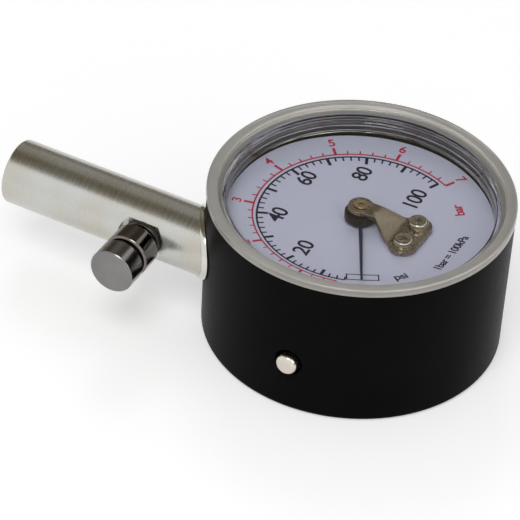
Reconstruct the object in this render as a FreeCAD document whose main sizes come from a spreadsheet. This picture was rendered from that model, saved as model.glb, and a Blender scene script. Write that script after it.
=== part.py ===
import FreeCAD, Part
import os
import re
import Sketcher

# A dial gauge for tyre pressure, lying on its back.
# The origin is the centre of the back face, +Z looks out of the dial, +Y runs along the
# inlet stem (twelve o'clock of the dial) and +X points to three o'clock. Millimetres.

doc = FreeCAD.newDocument("PressureGauge")
sheet = doc.addObject("Spreadsheet::Sheet", "Sizes")

# The driving dimensions
sizes = {
    # Case
    "case_radius": 27.5,  # outer radius of the case at its mouth
    "case_draft": 0.35,  # how much narrower the case is at its back
    "case_height": 28.5,  # height of the moulded case without the lens
    "case_wall": 2.3,  # thickness of the case wall
    "case_floor": 2.2,  # thickness of the back of the case
    "case_edge": 1.0,  # rounding of the case's back edge
    "boss_radius": 3.0,  # radius of the three bosses inside the case
    "boss_height": 2.8,  # height of the bosses above the case floor
    "boss_inset": 8.2,  # distance of the bosses' middles from the case bore
    "boss_count": 3,  # how many bosses carry the base plate

    # Lens, its seal and the fits
    "fit_gap": 0.05,  # clearance between pieces that seat on each other
    "lens_overhang": 0.1,  # how far the lens rim stands proud of the case
    "lens_rim_height": 1.5,  # height of the lens rim above the case
    "lens_rim_width": 1.9,  # width of the raised ring round the window
    "lens_rim_edge": 0.4,  # rounding of the lens rim
    "window_sink": 1.0,  # how far the window lies below the rim
    "window_thickness": 1.8,  # thickness of the window
    "skirt_gap": 0.15,  # clearance between the lens skirt and the case bore
    "skirt_wall": 0.75,  # thickness of the lens skirt
    "skirt_length": 4.5,  # length of the skirt inside the case
    "gasket_thickness": 0.4,  # thickness of the flat ring under the lens rim
    "gasket_width": 1.0,  # width of the flat ring under the lens rim

    # Dial, base plate and pillars
    "plate_margin": 5.2,  # gap between the base plate and the case bore
    "plate_thickness": 1.5,  # thickness of the base plate
    "dial_drop": 5.7,  # depth of the dial's face below the mouth of the case
    "dial_thickness": 0.5,  # thickness of the dial
    "dial_gap": 0.4,  # clearance between the dial's edge and the case bore
    "dial_hole": 2.2,  # radius of the hole in the middle of the dial
    "pillar_radius": 1.8,  # radius of the two pillars under the bridge
    "pillar_offset": 3.0,  # sideways distance of each pillar from the dial's middle line
    "pillar_drop": 10.0,  # distance of the pillars below the pivot, towards six o'clock

    # Screws
    "screw_radius": 1.0,  # radius of every screw's shank
    "screw_head": 1.85,  # radius of every screw's head
    "screw_head_height": 1.3,  # height of every screw's head
    "screw_head_edge": 0.6,  # rounding of every screw's head
    "screw_bite": 4.0,  # how far a screw reaches into the piece that it holds
    "recess_length": 2.0,  # length of the cross recess in a screw's head
    "recess_width": 0.5,  # width of the cross recess in a screw's head
    "recess_depth": 0.6,  # depth of the cross recess in a screw's head

    # Stem
    "stem_offset": 12.0,  # distance of the stem's axis from the dial's middle line
    "stem_drop": 12.15,  # distance of the stem's axis below the mouth of the case
    "stem_radius": 6.05,  # outer radius of the stem tube
    "stem_length": 36.0,  # how far the stem stands out of the case
    "stem_edge": 0.6,  # rounding of the stem's open end
    "neck_radius": 5.6,  # radius of the stem where it passes through the case wall
    "neck_gap": 0.1,  # clearance between the neck and its hole in the case
    "spigot_radius": 3.6,  # radius of the spigot that enters the inlet block
    "spigot_length": 8.5,  # length of the spigot
    "stem_bore": 2.6,  # radius of the long bore through the stem
    "ferrule_wall": 0.4,  # thickness of the trim ring round the stem
    "ferrule_width": 0.9,  # width of the trim ring along the stem

    # Chuck at the open end of the stem
    "chuck_bore": 4.1,  # radius of the bore that goes over the tyre valve
    "chuck_depth": 9.5,  # depth of that bore, down to the rubber washer
    "chuck_lead": 0.6,  # chamfer at the mouth of the bore
    "washer_radius": 4.9,  # outer radius of the rubber washer
    "washer_bore": 2.0,  # radius of the hole in the rubber washer
    "washer_thickness": 2.4,  # thickness of the rubber washer
    "depressor_radius": 3.4,  # radius of the disc that carries the depressor pin
    "depressor_thickness": 1.2,  # thickness of that disc
    "depressor_tip": 0.9,  # radius of the depressor pin
    "depressor_recess": 0.2,  # how far the pin's tip stays below the washer's face
    "vent_radius": 0.6,  # radius of the air holes in the depressor's disc
    "vent_circle": 2.1,  # radius of the circle of air holes
    "vent_count": 3,  # how many air holes the disc has
    "chamber_radius": 2.8,  # radius of the space behind the depressor's disc
    "chamber_length": 1.5,  # length of that space
    "throat_radius": 1.2,  # radius of the throat in front of the check valve
    "throat_length": 1.5,  # length of the throat

    # Check valve in the stem
    "ball_radius": 1.9,  # radius of the check valve's ball
    "ball_gap": 0.1,  # clearance between the ball and its seat at rest
    "check_spring_length": 4.4,  # length of the spring behind the ball
    "check_plug_thickness": 1.2,  # thickness of the ring that carries that spring
    "check_plug_bore": 0.8,  # radius of the hole in that ring

    # Bleed valve on the side of the stem, as distances from the stem's axis
    "valve_distance": 29.1,  # distance of the bleed valve's axis from the open end
    "valve_radius": 4.25,  # outer radius of the bleed valve's body and button
    "valve_edge": 0.35,  # chamfer on the bleed valve's body and button
    "spot_distance": 4.9,  # distance of the flat on the stem from the stem's axis
    "spot_margin": 0.35,  # how much wider than the valve that flat is
    "bleed_gasket_thickness": 0.5,  # thickness of the bleed valve's sealing ring
    "flange_radius": 3.6,  # radius of the flange on that sealing ring
    "flange_thickness": 0.5,  # thickness of the flange on that sealing ring
    "waist_radius": 3.0,  # radius of the bleed valve's waist
    "waist_length": 0.9,  # length of the bleed valve's waist
    "shank_radius": 2.9,  # radius of the bleed valve's threaded shank
    "shank_end": 2.0,  # distance of the shank's inner end from the stem's axis
    "barrel_length": 4.5,  # length of the bleed valve's thick part
    "button_travel": 0.8,  # travel of the bleed button
    "button_length": 4.4,  # length of the button's cap
    "rod_radius": 1.2,  # radius of the button's rod
    "rod_gap": 0.15,  # clearance between a rod and its bore
    "seal_thickness": 0.8,  # thickness of the rubber ring on a rod
    "seal_width": 0.8,  # width of the rubber ring on the button's rod
    "pin_seal_width": 0.7,  # width of the rubber ring on the reset pin
    "rod_foot_thickness": 0.6,  # thickness of the foot that holds that rubber ring
    "rod_foot_width": 0.5,  # how far that foot stands out from the rod
    "spring_room": 3.2,  # radius of the pockets for the bleed spring
    "barrel_pocket": 3.3,  # depth of the spring pocket in the valve's body
    "button_pocket": 2.0,  # depth of the spring pocket in the button
    "bleed_coil_radius": 2.3,  # mean radius of the bleed spring
    "spring_wire": 0.3,  # wire radius of the springs
    "spring_turns": 4,  # turns of each spring

    # Reset pin at nine o'clock, as distances from the case's axis
    "pin_height": 10.7,  # height of the reset pin's axis above the back of the case
    "pin_drop": 1.0,  # distance of that axis below the pivot, towards six o'clock
    "pin_proud": 1.2,  # how far the pin's head stands out of the case
    "pin_head": 2.0,  # radius of the pin's head
    "pin_dome": 0.9,  # rounding of the pin's head
    "pin_window": 2.6,  # radius of the hole round the pin's head
    "pin_collar": 3.2,  # radius of the collar that keeps the pin in the case
    "pin_collar_thickness": 0.65,  # thickness of that collar
    "pin_collar_gap": 0.35,  # distance of that collar from the case wall
    "pin_shank": 1.0,  # radius of the pin's shank
    "pin_travel": 1.0,  # travel of the reset pin
    "reset_coil_radius": 1.9,  # mean radius of the reset spring
    "reset_chamber": 2.0,  # radius of the valve chamber in the inlet block
    "reset_wall": 4.2,  # wall between the block's outer face and that chamber
    "reset_plug_thickness": 1.8,  # thickness of the plug that closes that chamber

    # Inlet block and its passages
    "block_margin": 6.6,  # gap between the block's outer face and the case bore
    "block_inner": 7.2,  # distance of the block's inner face from the pivot
    "block_near": 4.5,  # how far the block reaches past the pivot, towards six o'clock
    "block_far": 15.5,  # how far the block reaches towards the stem
    "block_headroom": 0.8,  # gap between the block and the dial
    "passage_radius": 0.8,  # radius of the main passages in the block
    "feed_radius": 0.5,  # radius of the passage that feeds the coiled tube
    "passage_side": 2.2,  # distance of the upright passage from the reset pin's axis
    "passage_plug_length": 1.0,  # length of the plug that closes that passage
    "lug_depth": 3.2,  # depth of the lug that holds the coiled tube's fixed end
    "block_screw_side": 13.0,  # sideways distance of the block's screws from the pivot
    "block_screw_first": 5.5,  # distance of the first block screw from the pivot
    "block_screw_pitch": 6.5,  # distance between the block's two screws
    "block_screw_bite": 3.0,  # how far the block's screws reach into it

    # Coiled tube
    "coil_radius": 5.9,  # mean radius of the coiled tube
    "coil_half_width": 0.6,  # half of the tube's flattened width
    "coil_half_height": 1.0,  # half of the tube's height
    "coil_start": 8.6,  # height of the tube's fixed end above the back of the case
    "coil_headroom": 2.3,  # distance of the tube's free end below the dial
    "coil_turns": 4,  # turns of the coiled tube

    # Pointer and its bearings
    "zero_angle": 207.9,  # direction of the pointer at rest, in degrees from three o'clock
    "shaft_radius": 0.8,  # radius of the pointer's shaft
    "pivot_radius": 0.45,  # radius of the shaft's two pivots
    "pivot_length": 1.0,  # length of the shaft's upper pivot
    "foot_pivot_length": 1.8,  # length of the shaft's lower pivot
    "bearing_radius": 2.0,  # radius of the lower bearing
    "bearing_flange": 2.8,  # radius of the lower bearing's flange
    "bearing_flange_thickness": 0.8,  # thickness of the lower bearing's flange
    "bearing_floor": 0.6,  # thickness of the lower bearing's floor
    "hub_radius": 2.85,  # radius of the pointer's hub
    "hub_height": 1.6,  # height of the pointer's hub
    "hub_clearance": 0.5,  # gap between the dial and the hub
    "needle_length": 18.9,  # distance of the pointer's tip from the pivot
    "needle_root": 1.1,  # distance of the pointer's inner end from the pivot
    "needle_width": 0.75,  # width of the pointer at its hub
    "needle_tip_width": 0.4,  # width of the pointer at its tip
    "needle_thickness": 0.3,  # thickness of the pointer
    "needle_seat": 0.7,  # height of the pointer above the underside of its hub
    "clamp_width": 1.4,  # width of the arm that holds the tube's free end
    "clamp_boss": 1.8,  # radius of that arm's boss on the shaft

    # Bridge over the pointer
    "bridge_thickness": 1.0,  # thickness of the bridge's sheet metal
    "bridge_rise": 2.4,  # height of the arm's underside above the dial
    "arm_half_width": 1.75,  # half of the arm's width
    "eye_radius": 2.3,  # radius of the arm's round end, round the bush
    "arm_length": 3.6,  # distance from the pivot to the start of the slope
    "foot_start": 7.1,  # distance from the pivot to the end of the slope
    "foot_half_width": 3.9,  # half of the sheet's width where the slope ends
    "lobe_radius": 2.6,  # radius of the bridge's foot round each screw
    "bush_radius": 1.0,  # radius of the bearing bush in the arm
    "bush_head": 1.3,  # radius of the bush's head
    "bush_head_height": 0.35,  # height of the bush's head above the arm
    "bush_dimple": 0.6,  # radius of the dimple in the bush's head
}
named = {}
for row, (alias, number) in enumerate(sizes.items(), 1):
    sheet.set("A%d" % row, alias.replace("_", " "))
    sheet.set("B%d" % row, str(number))
    sheet.setAlias("B%d" % row, alias)
    named[alias] = "Sizes." + alias


def bound(text):
    """Turn a length in plain names into an expression on the sheet."""
    return re.sub(r"[a-z_]{3,}", lambda found: named.get(found.group(), found.group()), text)


def derive(name, text):
    """Name a length that is worked out from the driving dimensions."""
    named[name] = "(" + bound(text) + ")"


derive("case_foot_radius", "case_radius - case_draft")
derive("case_bore", "case_radius - case_wall")
derive("boss_circle", "case_bore - boss_inset")
derive("plate_radius", "case_bore - plate_margin")
derive("plate_base", "case_floor + boss_height")
derive("plate_top", "plate_base + plate_thickness")
derive("dial_top", "case_height - dial_drop")
derive("dial_base", "dial_top - dial_thickness")
derive("stem_height", "case_height - stem_drop")
derive("stem_reach", "case_radius + stem_length")
derive("valve_place", "stem_reach - valve_distance")
derive("block_outer", "case_bore - block_margin")
derive("rim_top", "case_height + lens_rim_height")
derive("window_top", "rim_top - window_sink")
derive("window_base", "window_top - window_thickness")
derive("skirt_radius", "case_bore - skirt_gap")
derive("rim_radius", "case_radius + lens_overhang")
derive("washer_face", "stem_reach - chuck_depth")
derive("washer_base", "washer_face - washer_thickness")
derive("chamber_top", "washer_base - depressor_thickness")
derive("throat_top", "chamber_top - chamber_length")
derive("check_seat", "throat_top - throat_length")
derive("ball_centre", "check_seat - ball_gap - sqrt(ball_radius ^ 2 - throat_radius ^ 2)")
derive("check_plug_top", "ball_centre - ball_radius - ball_gap - check_spring_length")
derive("spigot_end", "block_far - spigot_length")
derive("flange_base", "spot_distance + bleed_gasket_thickness")
derive("waist_base", "flange_base + flange_thickness")
derive("barrel_base", "waist_base + waist_length")
derive("barrel_top", "barrel_base + barrel_length")
derive("button_base", "barrel_top + button_travel")
derive("button_top", "button_base + button_length")
derive("bleed_seal_top", "shank_end - fit_gap")
derive("rod_foot_top", "bleed_seal_top - seal_thickness")
derive("seal_radius", "rod_radius + seal_width")
derive("collar_top", "case_bore - pin_collar_gap")
derive("collar_base", "collar_top - pin_collar_thickness")
derive("chamber_face", "block_outer - reset_wall")
derive("reset_seal_top", "chamber_face - fit_gap")
derive("reset_foot_top", "reset_seal_top - seal_thickness")
derive("passage_place", "passage_side - pin_drop")
derive("block_height", "dial_base - block_headroom - plate_top")
derive("coil_end", "dial_base - coil_headroom")
derive("coil_rise", "coil_end - coil_start")
derive("hub_base", "dial_top + hub_clearance")
derive("hub_top", "hub_base + hub_height")
derive("needle_base", "hub_base + needle_seat")
derive("arm_base", "dial_top + bridge_rise")
derive("arm_top", "arm_base + bridge_thickness")
derive("foot_top", "dial_top + bridge_thickness")

UP = FreeCAD.Rotation()
ALONG_STEM = FreeCAD.Rotation(FreeCAD.Vector(1, 0, 0), -90)
OUTWARD = FreeCAD.Rotation(FreeCAD.Vector(0, 1, 0), -90)
ACROSS_HELIX = FreeCAD.Rotation(FreeCAD.Vector(1, 1, 1), -120)
UPSIDE_DOWN = FreeCAD.Rotation(FreeCAD.Vector(1, 0, 0), 180)
TURNS_PER_FACE = 1
PIVOT = ("0", "0", "0")
STEM_AXIS = ("-stem_offset", "0", "stem_height")
VALVE_AXIS = ("-stem_offset", "valve_place", "stem_height")
PIN_AXIS = ("0", "-pin_drop", "pin_height")

doc.recompute()


def worth(text):
    """Today's number behind a length in plain names."""
    return float(sheet.evalExpression(bound(text)))


def tie(thing, path, text):
    """Bind one property to the sheet."""
    thing.setExpression(path, bound(text))


def place(thing, where, turn=UP):
    """Put a piece or a feature where its three lengths say, turned as given."""
    thing.Placement = FreeCAD.Placement(FreeCAD.Vector(), turn)
    for letter, text in zip("xyz", where):
        if text != "0":
            tie(thing, "Placement.Base." + letter, text)


def plane_of(body, role):
    """One of the body's own origin planes or axes."""
    return [feature for feature in body.Origin.OriginFeatures if feature.Role == role][0]


def pin_down(sketch, index, kind, axis, text):
    """Hold one corner of an outline at its length from the sketch's axis."""
    if text == "0":
        sketch.addConstraint(Sketcher.Constraint("PointOnObject", index, 1, axis))
        return
    length = worth(text)
    if length > 0:
        constraint = Sketcher.Constraint(kind, -1, 1, index, 1, length)
        expression = bound(text)
    else:
        constraint = Sketcher.Constraint(kind, index, 1, -1, 1, -length)
        expression = "-(" + bound(text) + ")"
    number = sketch.addConstraint(constraint)
    sketch.setExpression("Constraints[%d]" % number, expression)


def outline(body, name, role, corners):
    """Sketch a closed outline of straight runs on one of the body's planes."""
    sketch = body.newObject("Sketcher::SketchObject", name)
    sketch.AttachmentSupport = (plane_of(body, role), [""])
    sketch.MapMode = "FlatFace"
    spots = [FreeCAD.Vector(worth(across), worth(along), 0) for across, along in corners]
    count = len(corners)
    for index, spot in enumerate(spots):
        sketch.addGeometry(Part.LineSegment(spot, spots[(index + 1) % count]))
    for index in range(count):
        sketch.addConstraint(Sketcher.Constraint("Coincident", index, 2, (index + 1) % count, 1))
    for index, (across, along) in enumerate(corners):
        pin_down(sketch, index, "DistanceX", -2, across)
        pin_down(sketch, index, "DistanceY", -1, along)
    return sketch


def turned(label, corners, where=PIVOT, turn=UP):
    """A piece made on the lathe: corners are (radius, height) along its own axis."""
    body = doc.addObject("PartDesign::Body", label)
    sketch = outline(body, label + "_outline", "XZ_Plane", corners)
    solid = body.newObject("PartDesign::Revolution", label + "_turning")
    solid.Profile = sketch
    solid.ReferenceAxis = (sketch, ["V_Axis"])
    solid.Angle = 360
    place(body, where, turn)
    return body


def ring(label, inner, outer, low, high, where=PIVOT, turn=UP):
    """A plain turned ring between two radii and two heights."""
    return turned(label, [(inner, low), (outer, low), (outer, high), (inner, high)], where, turn)


def drill(body, name, radius, length, where, turn=UP):
    """A straight round hole in a body."""
    hole = body.newObject("PartDesign::SubtractiveCylinder", name)
    tie(hole, "Radius", radius)
    tie(hole, "Height", length)
    place(hole, where, turn)
    return hole


def add_rod(body, name, radius, length, where, turn=UP):
    """A straight round rod grown onto a body."""
    rod = body.newObject("PartDesign::AdditiveCylinder", name)
    tie(rod, "Radius", radius)
    tie(rod, "Height", length)
    place(rod, where, turn)
    return rod


def add_box(body, name, kind, sides, where, turn=UP):
    """A rectangular block grown onto a body or cut from it."""
    block = body.newObject("PartDesign::%sBox" % kind, name)
    for side, text in zip(("Length", "Width", "Height"), sides):
        tie(block, side, text)
    place(block, where, turn)
    return block


def ring_pattern(body, name, original, count):
    """Repeat a feature round the body's own axis."""
    pattern = body.newObject("PartDesign::PolarPattern", name)
    pattern.Originals = [original]
    pattern.Axis = (plane_of(body, "Z_Axis"), [""])
    pattern.Angle = 360
    tie(pattern, "Occurrences", count)
    body.Tip = pattern
    return pattern


def soften(body, kind, rings, amount):
    """Round or chamfer the circular edges that have the given (radius, height)."""
    doc.recompute()
    before = body.Tip
    wanted = [(worth(radius), worth(height)) for radius, height in rings]
    names = []
    for number, edge in enumerate(before.Shape.Edges, 1):
        if not isinstance(edge.Curve, Part.Circle):
            continue
        for radius, height in wanted:
            near = abs(edge.Curve.Radius - radius) + abs(edge.Curve.Center.z - height)
            if near < 0.001:
                names.append("Edge%d" % number)
    dressing = body.newObject("PartDesign::" + kind, body.Name + "_" + kind.lower())
    dressing.Base = (before, names)
    if kind == "Fillet":
        tie(dressing, "Radius", amount)
    else:
        tie(dressing, "Size", amount)
    return dressing


def cylinder(name, radius, length, where, turn=UP):
    """A plain cylinder, as a tool for joining or cutting."""
    solid = doc.addObject("Part::Cylinder", name)
    tie(solid, "Radius", radius)
    tie(solid, "Height", length)
    place(solid, where, turn)
    return solid


def subtract(label, base, tool):
    """Cut one shape from another."""
    result = doc.addObject("Part::Cut", label)
    result.Base = base
    result.Tool = tool
    return result


def pan_screw(name, bite, where, turn=UP):
    """A pan-head screw with a cross recess; its height zero is under the head."""
    screw = turned(name, [
        ("0", "-(%s)" % bite),
        ("screw_radius", "-(%s)" % bite),
        ("screw_radius", "0"),
        ("screw_head", "0"),
        ("screw_head", "screw_head_height"),
        ("0", "screw_head_height"),
    ], where, turn)
    soften(screw, "Fillet", [("screw_head", "screw_head_height")], "screw_head_edge")
    sides = ("recess_length", "recess_width", "recess_depth")
    corner = ("-recess_length / 2", "-recess_width / 2", "screw_head_height - recess_depth")
    add_box(screw, name + "_slot", "Subtractive", sides, corner)
    sides = ("recess_width", "recess_length", "recess_depth")
    corner = ("-recess_width / 2", "-recess_length / 2", "screw_head_height - recess_depth")
    add_box(screw, name + "_cross_slot", "Subtractive", sides, corner)
    return screw


def group(label, pieces):
    """Identical fasteners that share one node as separate solids."""
    together = doc.addObject("Part::Compound", label)
    together.Links = pieces
    return together


def spring(label, mean_radius, length, where, turn):
    """A helical spring of a given length; its place is the middle of its first wire."""
    line = doc.addObject("Part::Helix", label + "_line")
    tie(line, "Radius", mean_radius)
    tie(line, "Height", "%s - 2 * spring_wire" % length)
    tie(line, "Pitch", "(%s - 2 * spring_wire) / spring_turns" % length)
    line.SegmentLength = TURNS_PER_FACE
    section = doc.addObject("Part::Circle", label + "_section")
    tie(section, "Radius", "spring_wire")
    place(section, (mean_radius, "0", "0"), ACROSS_HELIX)
    doc.recompute()
    wound = doc.addObject("Part::Sweep", label)
    wound.Sections = [section]
    wound.Spine = (line, ["Edge%d" % (n + 1) for n in range(len(line.Shape.Edges))])
    wound.Solid = True
    wound.Frenet = True
    place(wound, where, turn)
    return wound


def boss_spots():
    """Where the screws of the base plate stand, evenly round the case."""
    spots = []
    count = int(worth("boss_count"))
    for number in range(count):
        angle = "90 + 360 * %d / boss_count" % number
        spots.append((
            "boss_circle * cos((%s) * 1deg)" % angle,
            "boss_circle * sin((%s) * 1deg)" % angle,
        ))
    return spots


def case_shell():
    """The moulded cup with its bosses, stem hole and pin hole."""
    body = turned("case_shell", [
        ("0", "0"),
        ("case_foot_radius", "0"),
        ("case_radius", "case_height"),
        ("case_bore + gasket_width", "case_height"),
        ("case_bore + gasket_width", "case_height - gasket_thickness"),
        ("case_bore", "case_height - gasket_thickness"),
        ("case_bore", "case_floor"),
        ("0", "case_floor"),
    ])
    soften(body, "Fillet", [("case_foot_radius", "0")], "case_edge")
    boss = add_rod(body, "case_boss", "boss_radius", "boss_height",
                   ("0", "boss_circle", "case_floor"))
    ring_pattern(body, "case_bosses", boss, "boss_count")
    hole = drill(body, "case_boss_hole", "screw_radius + fit_gap", "boss_height",
                 ("0", "boss_circle", "case_floor"))
    ring_pattern(body, "case_boss_holes", hole, "boss_count")
    drill(body, "case_stem_hole", "neck_radius + neck_gap", "case_radius",
          ("-stem_offset", "case_bore / 2", "stem_height"), ALONG_STEM)
    drill(body, "case_pin_hole", "pin_window", "2 * case_wall",
          ("-case_bore + case_wall / 2", "-pin_drop", "pin_height"), OUTWARD)
    return body


def lens():
    """The clear screw-on lens: rim, sunk window and skirt in one moulding."""
    body = turned("lens", [
        ("0", "window_base"),
        ("skirt_radius - skirt_wall", "window_base"),
        ("skirt_radius - skirt_wall", "case_height - skirt_length"),
        ("skirt_radius", "case_height - skirt_length"),
        ("skirt_radius", "case_height"),
        ("rim_radius", "case_height"),
        ("rim_radius", "rim_top"),
        ("rim_radius - lens_rim_width", "rim_top"),
        ("rim_radius - lens_rim_width", "window_top"),
        ("0", "window_top"),
    ])
    soften(body, "Fillet", [("rim_radius", "rim_top")], "lens_rim_edge")
    return body


def base_plate():
    """The disc on the case's bosses that carries the whole movement."""
    body = turned("base_plate", [
        ("bearing_radius + fit_gap", "plate_base"),
        ("plate_radius", "plate_base"),
        ("plate_radius", "plate_top"),
        ("bearing_radius + fit_gap", "plate_top"),
    ])
    hole = drill(body, "plate_screw_hole", "screw_radius + fit_gap", "plate_thickness",
                 ("0", "boss_circle", "plate_base"))
    ring_pattern(body, "plate_screw_holes", hole, "boss_count")
    for number, place_along in enumerate(block_screw_places()):
        drill(body, "plate_block_hole_%d" % number, "screw_radius + fit_gap", "plate_thickness",
              ("-block_screw_side", place_along, "plate_base"))
    return body


def block_screw_places():
    """Distances of the block's two screws from the pivot."""
    return ["block_screw_first", "block_screw_first + block_screw_pitch"]


def inlet_block():
    """The brass block: stem socket, passages, reset chamber and the tube's lug."""
    body = doc.addObject("PartDesign::Body", "inlet_block")
    add_box(body, "block_stock", "Additive",
            ("block_outer - block_inner", "block_near + block_far", "block_height"),
            ("-block_outer", "-block_near", "plate_top"))
    add_box(body, "block_lug", "Additive",
            ("block_inner - coil_radius + coil_half_width + fit_gap", "lug_depth",
             "2 * coil_half_height"),
            ("-block_inner", "0", "coil_start - coil_half_height"))
    drill(body, "block_socket", "spigot_radius + fit_gap", "spigot_length + fit_gap",
          ("-stem_offset", "spigot_end - fit_gap", "stem_height"), ALONG_STEM)
    drill(body, "block_inlet", "passage_radius", "spigot_end - passage_place",
          ("-stem_offset", "passage_place", "stem_height"), ALONG_STEM)
    drill(body, "block_upright", "passage_radius", "stem_height - plate_top",
          ("-stem_offset", "passage_place", "plate_top"))
    drill(body, "block_feed", "feed_radius", "stem_offset - coil_radius",
          ("-coil_radius", "passage_place", "coil_start"), OUTWARD)
    drill(body, "block_outlet", "feed_radius", "passage_place",
          ("-coil_radius", "0", "coil_start"), ALONG_STEM)
    drill(body, "block_pin_bore", "pin_shank + rod_gap", "reset_wall",
          ("-chamber_face", "-pin_drop", "pin_height"), OUTWARD)
    drill(body, "block_chamber", "reset_chamber", "chamber_face - block_inner",
          ("-block_inner", "-pin_drop", "pin_height"), OUTWARD)
    for number, place_along in enumerate(block_screw_places()):
        drill(body, "block_screw_hole_%d" % number, "screw_radius + fit_gap",
              "block_screw_bite + fit_gap", ("-block_screw_side", place_along, "plate_top"))
    return body


def stem_tube():
    """The plated tube: saddle end, neck, spigot, bores, flat and cross hole."""
    body = turned("stem_tube", [
        ("0", "block_far"),
        ("stem_radius", "block_far"),
        ("stem_radius", "stem_reach"),
        ("0", "stem_reach"),
    ], STEM_AXIS, ALONG_STEM)
    soften(body, "Fillet", [("stem_radius", "stem_reach")], "stem_edge")
    drill(body, "stem_saddle", "case_radius + fit_gap", "4 * stem_radius",
          ("stem_offset", "-2 * stem_radius", "0"), ALONG_STEM)
    add_rod(body, "stem_neck", "neck_radius", "case_radius - block_far + neck_radius",
            ("0", "0", "block_far"))
    add_rod(body, "stem_spigot", "spigot_radius", "spigot_length", ("0", "0", "spigot_end"))
    drill(body, "stem_long_bore", "stem_bore", "check_seat - spigot_end", ("0", "0", "spigot_end"))
    drill(body, "stem_throat", "throat_radius", "throat_length", ("0", "0", "check_seat"))
    drill(body, "stem_chamber", "chamber_radius", "chamber_length", ("0", "0", "throat_top"))
    drill(body, "stem_disc_seat", "depressor_radius + fit_gap", "depressor_thickness",
          ("0", "0", "chamber_top"))
    drill(body, "stem_washer_seat", "washer_radius", "washer_thickness", ("0", "0", "washer_base"))
    drill(body, "stem_chuck_bore", "chuck_bore", "chuck_depth", ("0", "0", "washer_face"))
    soften(body, "Chamfer", [("chuck_bore", "stem_reach")], "chuck_lead")
    drill(body, "stem_flat", "valve_radius + spot_margin", "stem_radius",
          ("-spot_distance", "0", "valve_place"), OUTWARD)
    drill(body, "stem_cross_hole", "shank_radius + fit_gap", "spot_distance + shank_end",
          ("shank_end", "0", "valve_place"), OUTWARD)
    return body


def stem_ferrule():
    """The thin trim ring that follows the case wall round the stem."""
    length = "case_radius - block_far + ferrule_width"
    start = ("-stem_offset", "block_far", "stem_height")
    blank = cylinder("ferrule_blank", "stem_radius + ferrule_wall", length, start, ALONG_STEM)
    skin = cylinder("ferrule_skin", "case_radius + ferrule_width", "case_height", PIVOT)
    wall = cylinder("ferrule_wall_side", "case_radius + fit_gap", "case_height", PIVOT)
    tube = cylinder("ferrule_tube_side", "stem_radius + fit_gap", length, start, ALONG_STEM)
    outer = doc.addObject("Part::Common", "ferrule_outer")
    outer.Base = blank
    outer.Tool = skin
    return subtract("stem_ferrule", subtract("ferrule_saddle", outer, wall), tube)


def depressor_pin():
    """The disc with a pin that pushes the tyre valve's core, and its air holes."""
    body = turned("depressor_pin", [
        ("0", "chamber_top"),
        ("depressor_radius", "chamber_top"),
        ("depressor_radius", "washer_base - fit_gap"),
        ("depressor_tip", "washer_base - fit_gap"),
        ("depressor_tip", "washer_face - depressor_recess"),
        ("0", "washer_face - depressor_recess"),
    ], STEM_AXIS, ALONG_STEM)
    hole = drill(body, "depressor_vent", "vent_radius", "depressor_thickness",
                 ("vent_circle", "0", "chamber_top"))
    ring_pattern(body, "depressor_vents", hole, "vent_count")
    return body


def check_ball():
    """The ball that keeps the reading when the gauge leaves the tyre."""
    ball = doc.addObject("Part::Sphere", "check_ball")
    tie(ball, "Radius", "ball_radius")
    place(ball, ("-stem_offset", "ball_centre", "stem_height"), ALONG_STEM)
    return ball


def bleed_valve_body():
    """The turned body that screws into the side of the stem."""
    body = turned("bleed_valve_body", [
        ("rod_radius + rod_gap", "shank_end"),
        ("shank_radius", "shank_end"),
        ("shank_radius", "flange_base"),
        ("flange_radius", "flange_base"),
        ("flange_radius", "waist_base"),
        ("waist_radius", "waist_base"),
        ("waist_radius", "barrel_base"),
        ("valve_radius", "barrel_base"),
        ("valve_radius", "barrel_top"),
        ("spring_room", "barrel_top"),
        ("spring_room", "barrel_top - barrel_pocket"),
        ("rod_radius + rod_gap", "barrel_top - barrel_pocket"),
    ], VALVE_AXIS, OUTWARD)
    rings = [("valve_radius", "barrel_base"), ("valve_radius", "barrel_top")]
    soften(body, "Chamfer", rings, "valve_edge")
    return body


def bleed_button():
    """The push button: cap, rod and the foot that holds the rubber ring."""
    body = turned("bleed_button", [
        ("0", "rod_foot_top - rod_foot_thickness"),
        ("rod_radius + rod_foot_width", "rod_foot_top - rod_foot_thickness"),
        ("rod_radius + rod_foot_width", "rod_foot_top"),
        ("rod_radius", "rod_foot_top"),
        ("rod_radius", "button_base + button_pocket"),
        ("spring_room", "button_base + button_pocket"),
        ("spring_room", "button_base"),
        ("valve_radius", "button_base"),
        ("valve_radius", "button_top"),
        ("0", "button_top"),
    ], VALVE_AXIS, OUTWARD)
    rings = [("valve_radius", "button_base"), ("valve_radius", "button_top")]
    soften(body, "Chamfer", rings, "valve_edge")
    return body


def reset_pin():
    """The spring-loaded pin that opens the block's chamber when pressed."""
    body = turned("reset_pin", [
        ("0", "reset_foot_top - rod_foot_thickness"),
        ("pin_shank + rod_foot_width", "reset_foot_top - rod_foot_thickness"),
        ("pin_shank + rod_foot_width", "reset_foot_top"),
        ("pin_shank", "reset_foot_top"),
        ("pin_shank", "collar_base"),
        ("pin_collar", "collar_base"),
        ("pin_collar", "collar_top"),
        ("pin_head", "collar_top"),
        ("pin_head", "case_radius + pin_proud"),
        ("0", "case_radius + pin_proud"),
    ], PIN_AXIS, OUTWARD)
    soften(body, "Fillet", [("pin_head", "case_radius + pin_proud")], "pin_dome")
    return body


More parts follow.
